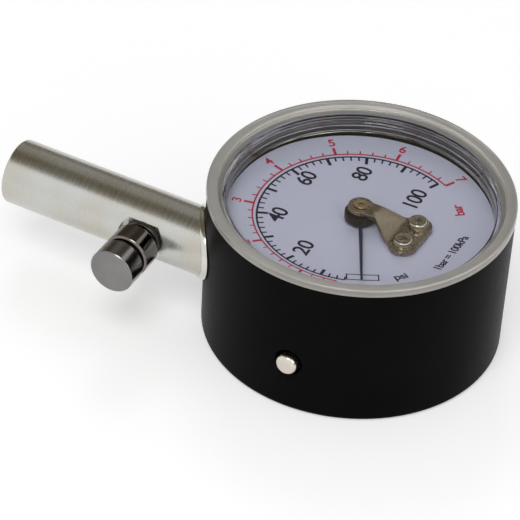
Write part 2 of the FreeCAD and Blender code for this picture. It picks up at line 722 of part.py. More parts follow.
def bourdon_coil():
    """The flattened tube, wound up from the block's lug; its free end turns the shaft."""
    line = doc.addObject("Part::Helix", "coil_line")
    tie(line, "Radius", "coil_radius")
    tie(line, "Height", "coil_rise")
    tie(line, "Pitch", "coil_rise / coil_turns")
    section = doc.addObject("Part::Ellipse", "coil_section")
    tie(section, "MajorRadius", "coil_half_height")
    tie(section, "MinorRadius", "coil_half_width")
    place(section, ("coil_radius", "0", "0"), ACROSS_HELIX)
    doc.recompute()
    tube = doc.addObject("Part::Sweep", "bourdon_coil")
    tube.Sections = [section]
    tube.Spine = (line, ["Edge%d" % (n + 1) for n in range(len(line.Shape.Edges))])
    tube.Solid = True
    tube.Frenet = True
    half_turn = FreeCAD.Rotation(FreeCAD.Vector(0, 0, 1), 180)
    place(tube, ("0", "0", "coil_start"), half_turn)
    return tube


def coil_tip_clamp():
    """The arm on the shaft that holds the coiled tube's free end."""
    body = turned("coil_tip_clamp", [
        ("shaft_radius + fit_gap", "coil_end - coil_half_height"),
        ("clamp_boss", "coil_end - coil_half_height"),
        ("clamp_boss", "coil_end + coil_half_height"),
        ("shaft_radius + fit_gap", "coil_end + coil_half_height"),
    ])
    add_box(body, "clamp_arm", "Additive",
            ("coil_radius + coil_half_width - shaft_radius - 2 * fit_gap", "clamp_width",
             "2 * coil_half_height"),
            ("-coil_radius - coil_half_width", "-clamp_width - fit_gap",
             "coil_end - coil_half_height"))
    drill(body, "clamp_bore", "shaft_radius + fit_gap", "2 * coil_half_height",
          ("0", "0", "coil_end - coil_half_height"))
    return body


def pointer_hub():
    """The round hub, with a slot for the pointer's inner end."""
    body = ring("pointer_hub", "shaft_radius + fit_gap", "hub_radius", "hub_base", "hub_top")
    add_box(body, "hub_slot", "Subtractive",
            ("hub_radius", "needle_width + 2 * fit_gap", "needle_thickness + 2 * fit_gap"),
            ("needle_root - fit_gap", "-needle_width / 2 - fit_gap", "needle_base - fit_gap"))
    tie(body, "Placement.Rotation.Angle", "zero_angle")
    return body


def pointer_needle():
    """The flat pointer, narrowing towards its tip."""
    body = doc.addObject("PartDesign::Body", "pointer_needle")
    sketch = outline(body, "needle_outline", "XY_Plane", [
        ("needle_root", "-needle_width / 2"),
        ("needle_length", "-needle_tip_width / 2"),
        ("needle_length", "needle_tip_width / 2"),
        ("needle_root", "needle_width / 2"),
    ])
    blade = body.newObject("PartDesign::Pad", "needle_blade")
    blade.Profile = sketch
    tie(blade, "Length", "needle_thickness")
    place(body, ("0", "0", "needle_base"), FreeCAD.Rotation(FreeCAD.Vector(0, 0, 1), 1))
    tie(body, "Placement.Rotation.Angle", "zero_angle")
    return body


def bridge():
    """The bent sheet-metal bridge: foot, slope and arm, with its three holes."""
    side = doc.addObject("PartDesign::Body", "bridge_side")
    sketch = outline(side, "bridge_side_outline", "YZ_Plane", [
        ("eye_radius", "arm_base"),
        ("eye_radius", "arm_top"),
        ("-arm_length", "arm_top"),
        ("-foot_start", "foot_top"),
        ("-pillar_drop - lobe_radius", "foot_top"),
        ("-pillar_drop - lobe_radius", "dial_top + fit_gap"),
        ("-foot_start + bridge_thickness / 4", "dial_top + fit_gap"),
        ("-arm_length + bridge_thickness / 4", "arm_base"),
    ])
    sheet_metal = side.newObject("PartDesign::Pad", "bridge_side_pad")
    sheet_metal.Profile = sketch
    tie(sheet_metal, "Length", "2 * (pillar_offset + lobe_radius)")
    sheet_metal.Midplane = True
    plan = doc.addObject("PartDesign::Body", "bridge_plan")
    sketch = outline(plan, "bridge_plan_outline", "XY_Plane", [
        ("arm_half_width", "0"),
        ("-arm_half_width", "0"),
        ("-arm_half_width", "-arm_length"),
        ("-foot_half_width", "-foot_start"),
        ("-pillar_offset - lobe_radius", "-pillar_drop"),
        ("-pillar_offset", "-pillar_drop - lobe_radius"),
        ("pillar_offset", "-pillar_drop - lobe_radius"),
        ("pillar_offset + lobe_radius", "-pillar_drop"),
        ("foot_half_width", "-foot_start"),
        ("arm_half_width", "-arm_length"),
    ])
    middle = plan.newObject("PartDesign::Pad", "bridge_plan_pad")
    middle.Profile = sketch
    tie(middle, "Length", "rim_top")
    add_rod(plan, "bridge_arm_end", "eye_radius", "rim_top", PIVOT)
    for number, sideways in enumerate(("-pillar_offset", "pillar_offset")):
        add_rod(plan, "bridge_lobe_%d" % number, "lobe_radius", "rim_top",
                (sideways, "-pillar_drop", "0"))
        drill(plan, "bridge_screw_hole_%d" % number, "screw_radius + fit_gap", "rim_top",
              (sideways, "-pillar_drop", "0"))
    drill(plan, "bridge_bush_hole", "bush_radius + fit_gap", "rim_top", PIVOT)
    result = doc.addObject("Part::Common", "bridge")
    result.Base = side
    result.Tool = plan
    return result


def bridge_bush():
    """The brass bush in which the shaft's upper pivot turns."""
    return turned("bridge_bush", [
        ("pivot_radius + fit_gap", "arm_base"),
        ("bush_radius", "arm_base"),
        ("bush_radius", "arm_top + fit_gap"),
        ("bush_head", "arm_top + fit_gap"),
        ("bush_head", "arm_top + bush_head_height"),
        ("bush_dimple", "arm_top + bush_head_height"),
        ("pivot_radius + fit_gap", "arm_top"),
    ])


def dial_plate():
    """The printed dial, clamped between the pillars and the bridge."""
    body = ring("dial_plate", "dial_hole", "case_bore - dial_gap", "dial_base", "dial_top")
    for number, sideways in enumerate(("-pillar_offset", "pillar_offset")):
        drill(body, "dial_screw_hole_%d" % number, "screw_radius + fit_gap", "dial_thickness",
              (sideways, "-pillar_drop", "dial_base"))
    return body


def pillar(name, sideways):
    """One turned post between the base plate and the dial, tapped at its top."""
    return turned(name, [
        ("0", "plate_top"),
        ("pillar_radius", "plate_top"),
        ("pillar_radius", "dial_base"),
        ("screw_radius + fit_gap", "dial_base"),
        ("screw_radius + fit_gap", "dial_base - screw_bite - fit_gap"),
        ("0", "dial_base - screw_bite - fit_gap"),
    ], (sideways, "-pillar_drop", "0"))


pieces = [
    case_shell(),
    lens(),
    ring("lens_gasket", "case_bore + fit_gap", "case_bore + gasket_width - fit_gap",
         "case_height - gasket_thickness", "case_height"),
    dial_plate(),
    base_plate(),
    inlet_block(),
    stem_tube(),
    stem_ferrule(),
    ring("chuck_seal", "washer_bore", "washer_radius - fit_gap", "washer_base",
         "washer_face", STEM_AXIS, ALONG_STEM),
    depressor_pin(),
    check_ball(),
    spring("check_spring", "ball_radius - spring_wire", "check_spring_length",
           ("-stem_offset", "check_plug_top + spring_wire", "stem_height"), ALONG_STEM),
    ring("check_plug", "check_plug_bore", "stem_bore - fit_gap",
         "check_plug_top - check_plug_thickness", "check_plug_top", STEM_AXIS, ALONG_STEM),
    bleed_valve_body(),
    ring("bleed_gasket", "shank_radius + fit_gap", "flange_radius + fit_gap",
         "spot_distance", "flange_base", VALVE_AXIS, OUTWARD),
    bleed_button(),
    ring("bleed_seal", "rod_radius + fit_gap", "seal_radius", "rod_foot_top",
         "bleed_seal_top", VALVE_AXIS, OUTWARD),
    spring("bleed_spring", "bleed_coil_radius",
           "(barrel_pocket + button_travel + button_pocket)",
           ("-stem_offset - barrel_top + barrel_pocket - spring_wire", "valve_place",
            "stem_height"), OUTWARD),
    reset_pin(),
    ring("reset_seal", "pin_shank + fit_gap", "pin_shank + pin_seal_width",
         "reset_foot_top", "reset_seal_top", PIN_AXIS, OUTWARD),
    spring("reset_spring", "reset_coil_radius", "(collar_base - block_outer)",
           ("-block_outer - spring_wire", "-pin_drop", "pin_height"), OUTWARD),
    turned("reset_plug", [
        ("0", "block_inner"),
        ("reset_chamber - fit_gap", "block_inner"),
        ("reset_chamber - fit_gap", "block_inner + reset_plug_thickness"),
        ("0", "block_inner + reset_plug_thickness"),
    ], PIN_AXIS, OUTWARD),
    turned("passage_plug", [
        ("0", "plate_top"),
        ("passage_radius - fit_gap", "plate_top"),
        ("passage_radius - fit_gap", "plate_top + passage_plug_length"),
        ("0", "plate_top + passage_plug_length"),
    ], ("-stem_offset", "passage_place", "0")),
    bourdon_coil(),
    coil_tip_clamp(),
    turned("pointer_shaft", [
        ("0", "plate_base + bearing_floor + fit_gap"),
        ("pivot_radius", "plate_base + bearing_floor + fit_gap"),
        ("pivot_radius", "plate_base + bearing_floor + foot_pivot_length"),
        ("shaft_radius", "plate_base + bearing_floor + foot_pivot_length"),
        ("shaft_radius", "hub_top"),
        ("pivot_radius", "hub_top"),
        ("pivot_radius", "hub_top + pivot_length"),
        ("0", "hub_top + pivot_length"),
    ]),
    turned("lower_bearing", [
        ("0", "plate_base"),
        ("bearing_radius", "plate_base"),
        ("bearing_radius", "plate_top"),
        ("bearing_flange", "plate_top"),
        ("bearing_flange", "plate_top + bearing_flange_thickness"),
        ("pivot_radius + fit_gap", "plate_top + bearing_flange_thickness"),
        ("pivot_radius + fit_gap", "plate_base + bearing_floor"),
        ("0", "plate_base + bearing_floor"),
    ]),
    pointer_hub(),
    pointer_needle(),
    bridge(),
    bridge_bush(),
    group("bridge_pillars", [
        pillar("left_pillar", "-pillar_offset"),
        pillar("right_pillar", "pillar_offset"),
    ]),
    group("bridge_screws", [
        pan_screw("left_bridge_screw", "dial_thickness + bridge_thickness + screw_bite",
                  ("-pillar_offset", "-pillar_drop", "foot_top")),
        pan_screw("right_bridge_screw", "dial_thickness + bridge_thickness + screw_bite",
                  ("pillar_offset", "-pillar_drop", "foot_top")),
    ]),
    group("base_screws", [
        pan_screw("base_screw_%d" % number, "plate_thickness + boss_height - fit_gap",
                  (across, along, "plate_top"))
        for number, (across, along) in enumerate(boss_spots())
    ]),
    group("block_screws", [
        pan_screw("block_screw_%d" % number, "plate_thickness + block_screw_bite",
                  ("-block_screw_side", place_along, "plate_base"),
                  UPSIDE_DOWN)
        for number, place_along in enumerate(block_screw_places())
    ]),
]

doc.recompute()

for thing in doc.Objects:
    if "Invalid" in thing.State or "Error" in thing.State:
        raise RuntimeError("%s could not be built: %s" % (thing.Name, thing.State))
for piece in pieces:
    if piece.Shape.isNull() or not piece.Shape.isValid():
        raise RuntimeError("%s has no sound shape" % piece.Label)

os.makedirs("parts", exist_ok=True)
for piece in pieces:
    piece.Shape.exportStep("parts/%s.step" % piece.Label)
    print(piece.Label, len(piece.Shape.Solids), round(piece.Shape.Volume, 2))
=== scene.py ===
# %% [markdown]
# A dial gauge for tyre pressure, lying on its back on a pale table. The solids come from the
# construction drawing: they are the frame, and nothing here moves or resizes them. This
# lesson gives them their finish, prints the dial, and moulds the clear lens with its thread,
# which is too fine for the drawing.

# %% Load the frame
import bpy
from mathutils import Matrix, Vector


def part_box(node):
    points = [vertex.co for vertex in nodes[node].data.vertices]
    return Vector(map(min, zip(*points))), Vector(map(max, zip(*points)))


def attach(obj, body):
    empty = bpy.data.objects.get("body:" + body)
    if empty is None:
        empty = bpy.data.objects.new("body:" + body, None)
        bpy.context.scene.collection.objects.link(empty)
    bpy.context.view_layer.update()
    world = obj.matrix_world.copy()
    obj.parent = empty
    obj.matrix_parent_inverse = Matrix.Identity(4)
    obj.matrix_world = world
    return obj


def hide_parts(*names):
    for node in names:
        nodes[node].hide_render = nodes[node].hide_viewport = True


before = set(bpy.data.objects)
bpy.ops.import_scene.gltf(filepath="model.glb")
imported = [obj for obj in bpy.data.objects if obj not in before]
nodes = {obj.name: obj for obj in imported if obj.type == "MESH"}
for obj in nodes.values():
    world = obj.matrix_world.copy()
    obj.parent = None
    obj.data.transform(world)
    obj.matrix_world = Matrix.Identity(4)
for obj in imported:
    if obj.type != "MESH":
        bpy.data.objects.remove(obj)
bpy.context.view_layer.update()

import math

import bmesh
import bpy
from mathutils import Matrix, Vector

MM = 0.001

# %% [markdown]
# Most lengths below are read off the solids, so that they follow them: the dial's face, the
# top of the case and the rim of the lens. The rest are sizes of the print on the dial.

# %% Measure the solids
case_low, case_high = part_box("case_shell")
lens_low, lens_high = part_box("lens")
dial_low, dial_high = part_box("dial_plate")
case_top = case_high.z / MM
rim_top = lens_high.z / MM
rim_radius = lens_high.x / MM
skirt_low = lens_low.z / MM
dial_face = dial_high.z / MM
dial_radius = dial_high.x / MM
print("case top", round(case_top, 2), "rim", round(rim_radius, 2), "dial", round(dial_face, 2))

# %% [markdown]
# The camera stands where the photographer stood. A very long lens makes the picture almost
# parallel. The camera is aimed at the picture's middle instead of using lens shift, so other
# views stay centred too.

# %% Camera
VIEW_HEADING = math.radians(24.1)
VIEW_ELEVATION = math.radians(37.81)
VIEW_ROLL = math.radians(5.16)
VIEW_DISTANCE = 0.7079
FOCAL_PIXELS = 4000.0
PICTURE_PIXELS = 520.0
PIVOT_PIXEL = (361.7, 198.85)
SENSOR = 36.0


def camera_axes():
    """Right, up and back directions of the camera before it is aimed."""
    away = Vector((math.cos(VIEW_HEADING), math.sin(VIEW_HEADING), 0))
    right = Vector((math.sin(VIEW_HEADING), -math.cos(VIEW_HEADING), 0))
    rise = Vector((0, 0, 1))
    up = away * math.sin(VIEW_ELEVATION) + rise * math.cos(VIEW_ELEVATION)
    back = rise * math.sin(VIEW_ELEVATION) - away * math.cos(VIEW_ELEVATION)
    turn = Matrix.Rotation(VIEW_ROLL, 3, back)
    return turn @ right, turn @ up, back


def make_camera():
    """The photograph's camera, aimed so that the frame's middle is the picture's middle."""
    right, up, back = camera_axes()
    middle = PICTURE_PIXELS / 2
    across = (middle - PIVOT_PIXEL[0]) / FOCAL_PIXELS
    down = (middle - PIVOT_PIXEL[1]) / FOCAL_PIXELS
    aim = (right * across - up * down - back).normalized()
    right = aim.cross(up).normalized()
    up = right.cross(aim)
    data = bpy.data.cameras.new("camera")
    data.sensor_width = SENSOR
    data.lens = FOCAL_PIXELS / PICTURE_PIXELS * SENSOR
    data.clip_start = 0.05
    data.clip_end = 20
    camera = bpy.data.objects.new("camera", data)
    bpy.context.scene.collection.objects.link(camera)
    turned = Matrix((right, up, -aim)).transposed().to_4x4()
    place = Vector((0, 0, case_top * MM)) + back * VIEW_DISTANCE
    camera.matrix_world = Matrix.Translation(place) @ turned
    bpy.context.scene.camera = camera
    return camera


camera = make_camera()
print("camera at", [round(v, 3) for v in camera.location], "lens", round(camera.data.lens, 1))

# %% [markdown]
# Four effects come back in several materials, so each is a node group with named sockets:
# a fine grain for moulded and plated skins, drawn lines for turned metal, a slow mottle that
# shifts a colour, and specks of dust. They give only values, which the materials then use.

# %% Helpers for node groups


def new_group(name, inputs, outputs):
    """An empty shader group with number sockets; returns it with its two end nodes."""
    group = bpy.data.node_groups.new(name, "ShaderNodeTree")
    for label, value in inputs:
        socket = group.interface.new_socket(label, in_out="INPUT", socket_type="NodeSocketFloat")
        socket.default_value = value
    for label in outputs:
        group.interface.new_socket(label, in_out="OUTPUT", socket_type="NodeSocketFloat")
    return group, group.nodes.new("NodeGroupInput"), group.nodes.new("NodeGroupOutput")


def math_node(tree, operation, first, second):
    """One sum in a node tree; each side is a socket or a number."""
    node = tree.nodes.new("ShaderNodeMath")
    node.operation = operation
    for slot, value in zip(node.inputs, (first, second)):
        if isinstance(value, (int, float)):
            slot.default_value = value
        else:
            tree.links.new(value, slot)
    return node.outputs[0]


def stretched_place(tree, stretch):
    """Object coordinates, stretched along each axis."""
    where = tree.nodes.new("ShaderNodeTexCoord")
    mapping = tree.nodes.new("ShaderNodeMapping")
    mapping.inputs["Scale"].default_value = stretch
    tree.links.new(where.outputs["Object"], mapping.inputs["Vector"])
    return mapping.outputs["Vector"]


def noise(tree, place, scale, detail):
    """A noise texture; its scale is a socket or a number."""
    node = tree.nodes.new("ShaderNodeTexNoise")
    node.inputs["Detail"].default_value = detail
    tree.links.new(place, node.inputs["Vector"])
    if isinstance(scale, (int, float)):
        node.inputs["Scale"].default_value = scale
    else:
        tree.links.new(scale, node.inputs["Scale"])
    return node.outputs["Fac"]


# %% Node group: fine grain


def build_grain():
    """Fine grain: a height and a tone, both round zero."""
    group, start, end = new_group(
        "fine_grain", [("Scale", 3000.0), ("Depth", 0.1)], ["Height", "Tone"])
    place = stretched_place(group, (1, 1, 1))
    coarse = math_node(group, "MULTIPLY", start.outputs["Scale"], 0.25)
    fine_noise = noise(group, place, start.outputs["Scale"], 4.0)
    tone_noise = noise(group, place, coarse, 2.0)
    group.links.new(math_node(group, "MULTIPLY", fine_noise, start.outputs["Depth"]),
                    end.inputs["Height"])
    group.links.new(math_node(group, "SUBTRACT", tone_noise, 0.5), end.inputs["Tone"])
    return group


grain_group = build_grain()
print("group", grain_group.name, "nodes", len(grain_group.nodes))

# %% Node group: drawn lines


def build_lines(name, stretch):
    """Lines left by turning or drawing, running across the stretched axis."""
    group, start, end = new_group(name, [("Scale", 60.0), ("Depth", 0.1)], ["Height", "Tone"])
    place = stretched_place(group, stretch)
    lines = noise(group, place, start.outputs["Scale"], 6.0)
    group.links.new(math_node(group, "MULTIPLY", lines, start.outputs["Depth"]),
                    end.inputs["Height"])
    group.links.new(math_node(group, "SUBTRACT", lines, 0.5), end.inputs["Tone"])
    return group


lines_along_stem = build_lines("lines_round_stem", (1, 40, 1))
lines_along_valve = build_lines("lines_round_valve", (40, 1, 1))
lines_upright = build_lines("lines_round_upright", (1, 1, 40))
print("line groups:", lines_along_stem.name, lines_along_valve.name, lines_upright.name)

# %% Node group: mottle


def build_mottle():
    """A slow change over the surface, from nought to one, for tarnish and handling marks."""
    group, start, end = new_group("mottle", [("Scale", 120.0), ("Contrast", 1.5)], ["Mask"])
    place = stretched_place(group, (1, 1, 1))
    cloud = noise(group, place, start.outputs["Scale"], 5.0)
    centred = math_node(group, "SUBTRACT", cloud, 0.5)
    spread = math_node(group, "MULTIPLY", centred, start.outputs["Contrast"])
    shifted = math_node(group, "ADD", spread, 0.5)
    clamped = math_node(group, "MINIMUM", math_node(group, "MAXIMUM", shifted, 0.0), 1.0)
    group.links.new(clamped, end.inputs["Mask"])
    return group


mottle_group = build_mottle()
print("group", mottle_group.name)

# %% Node group: dust


def build_dust():
    """Small pale specks, sparse and sharp."""
    group, start, end = new_group("dust", [("Scale", 900.0), ("Amount", 0.05)], ["Mask"])
    place = stretched_place(group, (1, 1, 1))
    cells = group.nodes.new("ShaderNodeTexVoronoi")
    group.links.new(place, cells.inputs["Vector"])
    group.links.new(start.outputs["Scale"], cells.inputs["Scale"])
    near = math_node(group, "LESS_THAN", cells.outputs["Distance"], start.outputs["Amount"])
    cloud = noise(group, place, 400.0, 2.0)
    here = math_node(group, "GREATER_THAN", cloud, 0.6)
    group.links.new(math_node(group, "MULTIPLY", near, here), end.inputs["Mask"])
    return group


dust_group = build_dust()
print("group", dust_group.name)

# %% [markdown]
# One function builds every opaque finish. It takes a colour and a second colour that the
# mottle blends in, a roughness that the surface lines or grain disturb, and a bump from the
# same lines or grain. Each material places the groups with its own values.

# %% The common finish


def place_group(tree, group, **values):
    """Put a group into a material with its own values."""
    node = tree.nodes.new("ShaderNodeGroup")
    node.node_tree = group
    for label, value in values.items():
        node.inputs[label].default_value = value
    return node


def mix_colours(tree, mask, first, second):
    """Blend from the first colour to the second where the mask is one."""
    node = tree.nodes.new("ShaderNodeMix")
    node.data_type = "RGBA"
    tree.links.new(mask, node.inputs["Factor"])
    for slot, value in zip((node.inputs[6], node.inputs[7]), (first, second)):
        if isinstance(value, tuple):
            slot.default_value = (*value, 1)
        else:
            tree.links.new(value, slot)
    return node.outputs[2]


def finish(name, colour, second, metallic, roughness, skin, depth, scale,
           swing=0.1, mottle=(120.0, 1.5), dust=0.0, gloss=0.5):
    """An opaque material with mottle, surface lines or grain, and dust if asked."""
    material = bpy.data.materials.new(name)
    material.use_nodes = True
    tree = material.node_tree
    shader = tree.nodes["Principled BSDF"]
    clouds = place_group(tree, mottle_group, Scale=mottle[0], Contrast=mottle[1])
    tint = mix_colours(tree, clouds.outputs["Mask"], colour, second)
    if dust:
        specks = place_group(tree, dust_group, Amount=dust)
        tint = mix_colours(tree, specks.outputs["Mask"], tint, DUST_COLOUR)
    tree.links.new(tint, shader.inputs["Base Color"])
    shader.inputs["Metallic"].default_value = metallic
    surface = place_group(tree, skin, Scale=scale, Depth=depth)
    swung = math_node(tree, "MULTIPLY", surface.outputs["Tone"], swing)
    tree.links.new(math_node(tree, "ADD", swung, roughness), shader.inputs["Roughness"])
    bump = tree.nodes.new("ShaderNodeBump")
    bump.inputs["Distance"].default_value = 0.0001
    tree.links.new(surface.outputs["Height"], bump.inputs["Height"])
    tree.links.new(bump.outputs["Normal"], shader.inputs["Normal"])
    shader.inputs["Specular IOR Level"].default_value = gloss
    return material


DUST_COLOUR = (0.35, 0.34, 0.32)

# %% [markdown]
# The case is a satin black moulding: the colour is nearly black everywhere, and what makes
# it read as plastic is the soft sheen broken by a very fine grain, with a little dust.

# %% Plastics and rubber
black_plastic = finish(
    "black_moulded_plastic", (0.003, 0.003, 0.0032), (0.0055, 0.0052, 0.005), 0.0, 0.36,
    grain_group, 0.35, 5200.0, swing=0.12, mottle=(70.0, 2.0), dust=0.02, gloss=0.02)
hub_plastic = finish(
    "black_hub_plastic", (0.007, 0.005, 0.004), (0.022, 0.013, 0.009), 0.0, 0.2,
    grain_group, 0.1, 4000.0, gloss=0.4)
rubber = finish(
    "black_rubber", (0.012, 0.012, 0.012), (0.022, 0.021, 0.02), 0.0, 0.6,
    grain_group, 0.5, 3500.0)
print("plastics:", black_plastic.name, hub_plastic.name, rubber.name)

# %% [markdown]
# The stem is satin chrome on brass: a metal that shows broad soft reflections with a warm
# cast. The bleed valve is a dark bright chrome, the bridge and screws are nickel.

# %% Metals
stem_chrome = finish(
    "satin_chrome_stem", (0.57, 0.59, 0.585), (0.52, 0.49, 0.42), 1.0, 0.27,
    lines_along_stem, 0.12, 90.0, swing=0.12, mottle=(60.0, 2.8))
ferrule_chrome = finish(
    "bright_chrome_ferrule", (0.72, 0.71, 0.69), (0.6, 0.58, 0.54), 1.0, 0.16,
    grain_group, 0.06, 3000.0)
dark_chrome = finish(
    "dark_chrome_valve", (0.2, 0.185, 0.175), (0.14, 0.125, 0.115), 1.0, 0.12,
    lines_along_valve, 0.05, 90.0, swing=0.08, mottle=(150.0, 1.6))
button_chrome = finish(
    "dark_chrome_button", (0.26, 0.25, 0.25), (0.19, 0.18, 0.18), 1.0, 0.2,
    lines_along_valve, 0.05, 90.0, swing=0.1, mottle=(150.0, 1.6))
nickel = finish(
    "bright_nickel", (0.36, 0.31, 0.24), (0.26, 0.21, 0.15), 1.0, 0.26,
    grain_group, 0.12, 2600.0, swing=0.15, mottle=(220.0, 1.8))
screw_nickel = finish(
    "nickel_screw", (0.6, 0.57, 0.5), (0.42, 0.38, 0.3), 1.0, 0.18,
    grain_group, 0.1, 2600.0, mottle=(500.0, 1.8))
pin_nickel = finish(
    "nickel_reset_pin", (0.72, 0.68, 0.6), (0.6, 0.54, 0.46), 1.0, 0.22,
    grain_group, 0.08, 2600.0)
print("metals:", stem_chrome.name, dark_chrome.name, nickel.name)

# %% Inner metals
steel = finish(
    "plain_steel", (0.5, 0.5, 0.5), (0.4, 0.39, 0.38), 1.0, 0.32, lines_upright, 0.1, 60.0)
brass = finish(
    "turned_brass", (0.66, 0.47, 0.2), (0.52, 0.35, 0.14), 1.0, 0.28,
    lines_along_stem, 0.1, 60.0)
bush_brass = finish(
    "bush_brass", (0.62, 0.52, 0.34), (0.46, 0.36, 0.2), 1.0, 0.24,
    grain_group, 0.1, 2600.0)
bronze = finish(
    "bronze_tube", (0.55, 0.33, 0.16), (0.42, 0.24, 0.11), 1.0, 0.3,
    lines_upright, 0.08, 60.0)
print("inner metals:", steel.name, brass.name, bronze.name)

# %% [markdown]
# The dial is printed sheet: a cool white ground and two inks. The inks are almost flat, but
# the print is a little uneven, so they have a grain of their own.

# %% Dial ground and inks
dial_ground = finish(
    "dial_white", (0.6, 0.615, 0.79), (0.58, 0.595, 0.765), 0.0, 0.42,
    grain_group, 0.02, 2500.0, swing=0.06, mottle=(40.0, 1.5), gloss=0.2)
navy_ink = finish(
    "navy_ink", (0.008, 0.009, 0.035), (0.013, 0.014, 0.05), 0.0, 0.45,
    grain_group, 0.02, 4000.0, gloss=0.1)
red_ink = finish(
    "red_ink", (0.5, 0.02, 0.06), (0.56, 0.035, 0.085), 0.0, 0.45,
    grain_group, 0.02, 4000.0, gloss=0.1)
needle_paint = finish(
    "needle_dark_blue", (0.01, 0.013, 0.05), (0.016, 0.02, 0.06), 0.0, 0.35,
    grain_group, 0.02, 4000.0, gloss=0.2)
print("print:", dial_ground.name, navy_ink.name, red_ink.name)

# %% [markdown]
# Clear plastic bends light, so it needs real transmission and real thickness. Lamps can't
# shine through such a body without a great deal of noise, so the material turns nearly
# transparent for shadow rays alone; the camera never sees that.

# %% Clear lens plastic
LENS_INDEX = 1.49
SHADOW_CLEARNESS = 0.9


def build_clear_plastic(name, light, deep, base_roughness, clearness):
    """Clear acrylic with faint scratches in its roughness."""
    material = bpy.data.materials.new(name)
    material.use_nodes = True
    tree = material.node_tree
    shader = tree.nodes["Principled BSDF"]
    clouds = place_group(tree, mottle_group, Scale=90.0, Contrast=1.2)
    tint = mix_colours(tree, clouds.outputs["Mask"], light, deep)
    tree.links.new(tint, shader.inputs["Base Color"])
    shader.inputs["Transmission Weight"].default_value = clearness
    shader.inputs["IOR"].default_value = LENS_INDEX
    scratches = place_group(tree, lines_along_stem, Scale=25.0, Depth=0.0)
    uneven = math_node(tree, "MULTIPLY", scratches.outputs["Tone"], 0.03)
    tree.links.new(math_node(tree, "ADD", uneven, base_roughness), shader.inputs["Roughness"])
    rays = tree.nodes.new("ShaderNodeLightPath")
    fade = math_node(tree, "MULTIPLY", rays.outputs["Is Shadow Ray"], SHADOW_CLEARNESS)
    tree.links.new(math_node(tree, "SUBTRACT", 1.0, fade), shader.inputs["Alpha"])
    return material


clear_plastic = build_clear_plastic(
    "clear_lens_plastic", (0.97, 0.975, 0.97), (0.93, 0.94, 0.93), 0.02, 1.0)
rim_plastic = build_clear_plastic(
    "milky_rim_plastic", (0.72, 0.7, 0.66), (0.56, 0.54, 0.5), 0.16, 0.66)
print("clear plastic:", clear_plastic.name, rim_plastic.name)

# %% [markdown]
# A solid from the drawing has knife edges. Real edges are broken by a few hundredths of a
# millimetre and catch the light. So each solid gets modifiers: it is welded, gets a tiny bevel
# on its sharp edges, and its normals are weighted by face size.

# %% Dress the solids
WELD_DISTANCE = 0.002 * MM
SHARP_ANGLE = math.radians(35)


def dress(node_name, material, edge=0.06):
    """Give a CAD node its material and soft edges; its own mesh stays as it is."""
    piece = nodes[node_name]
    piece.data.materials.clear()
    piece.data.materials.append(material)
    for polygon in piece.data.polygons:
        polygon.use_smooth = True
    weld = piece.modifiers.new("weld", "WELD")
    weld.merge_threshold = WELD_DISTANCE
    if edge:
        bevel = piece.modifiers.new("broken_edges", "BEVEL")
        bevel.width = edge * MM
        bevel.segments = 2
        bevel.limit_method = "ANGLE"
        bevel.angle_limit = SHARP_ANGLE
    normals = piece.modifiers.new("even_normals", "WEIGHTED_NORMAL")
    normals.keep_sharp = True
    return piece


outer_finish = {
    "case_shell": (black_plastic, 0.15),
    "stem_tube": (stem_chrome, 0.08),
    "stem_ferrule": (ferrule_chrome, 0.05),
    "bleed_valve_body": (dark_chrome, 0.06),
    "bleed_gasket": (rubber, 0.05),
    "bleed_button": (button_chrome, 0.06),
    "reset_pin": (pin_nickel, 0.05),
    "bridge": (nickel, 0.12),
    "bridge_bush": (bush_brass, 0.05),
    "bridge_screws": (screw_nickel, 0.05),
    "dial_plate": (dial_ground, 0.03),
    "pointer_hub": (hub_plastic, 0.12),
    "pointer_needle": (needle_paint, 0.02),
}
for node_name, (material, edge) in outer_finish.items():
    dress(node_name, material, edge)
print("outer pieces dressed:", len(outer_finish))

# %% Dress the inner pieces
inner_finish = {
    "lens_gasket": rubber, "chuck_seal": rubber, "bleed_seal": rubber, "reset_seal": rubber,
    "base_plate": steel, "base_screws": steel, "block_screws": steel, "pointer_shaft": steel,
    "check_ball": steel, "check_spring": steel, "bleed_spring": steel, "reset_spring": steel,
    "inlet_block": brass, "reset_plug": brass, "passage_plug": brass, "bridge_pillars": brass,
    "lower_bearing": brass, "depressor_pin": brass, "check_plug": brass,
    "coil_tip_clamp": brass, "bourdon_coil": bronze,
}
for node_name, material in inner_finish.items():
    dress(node_name, material, 0)
print("inner pieces dressed:", len(inner_finish))

# %% [markdown]
# The lens is one clear moulding: a raised rim that covers the case's edge, a sunk window,
# and a skirt with an outer thread that screws into the case. Its outline is swept round the
# axis in small steps. On the skirt the radius follows a thread that climbs as it goes round,
# so the ridges are a true helix.

# %% Outline of the lens
WINDOW_SINK = 1.0
WINDOW_THICKNESS = 1.8
RIM_WIDTH = 1.9
SKIRT_GAP_TO_RIM = 2.55
SKIRT_WALL = 0.75
THREAD_DEPTH = 0.32
THREAD_PITCH = 1.3
THREAD_STEPS = 44
LENS_STEPS = 240
RIM_ROUND = 0.4
WINDOW_RINGS = (4.0, 12.0, 20.0)
skirt_radius = rim_radius - SKIRT_GAP_TO_RIM
window_top = rim_top - WINDOW_SINK
window_base = window_top - WINDOW_THICKNESS


def arc(centre, radius, start, stop, steps=5):
    """Points on a quarter round of the outline, angles in degrees."""
    spots = []
    for step in range(steps + 1):
        angle = math.radians(start + (stop - start) * step / steps)
        spots.append((centre[0] + radius * math.cos(angle), centre[1] + radius * math.sin(angle)))
    return spots


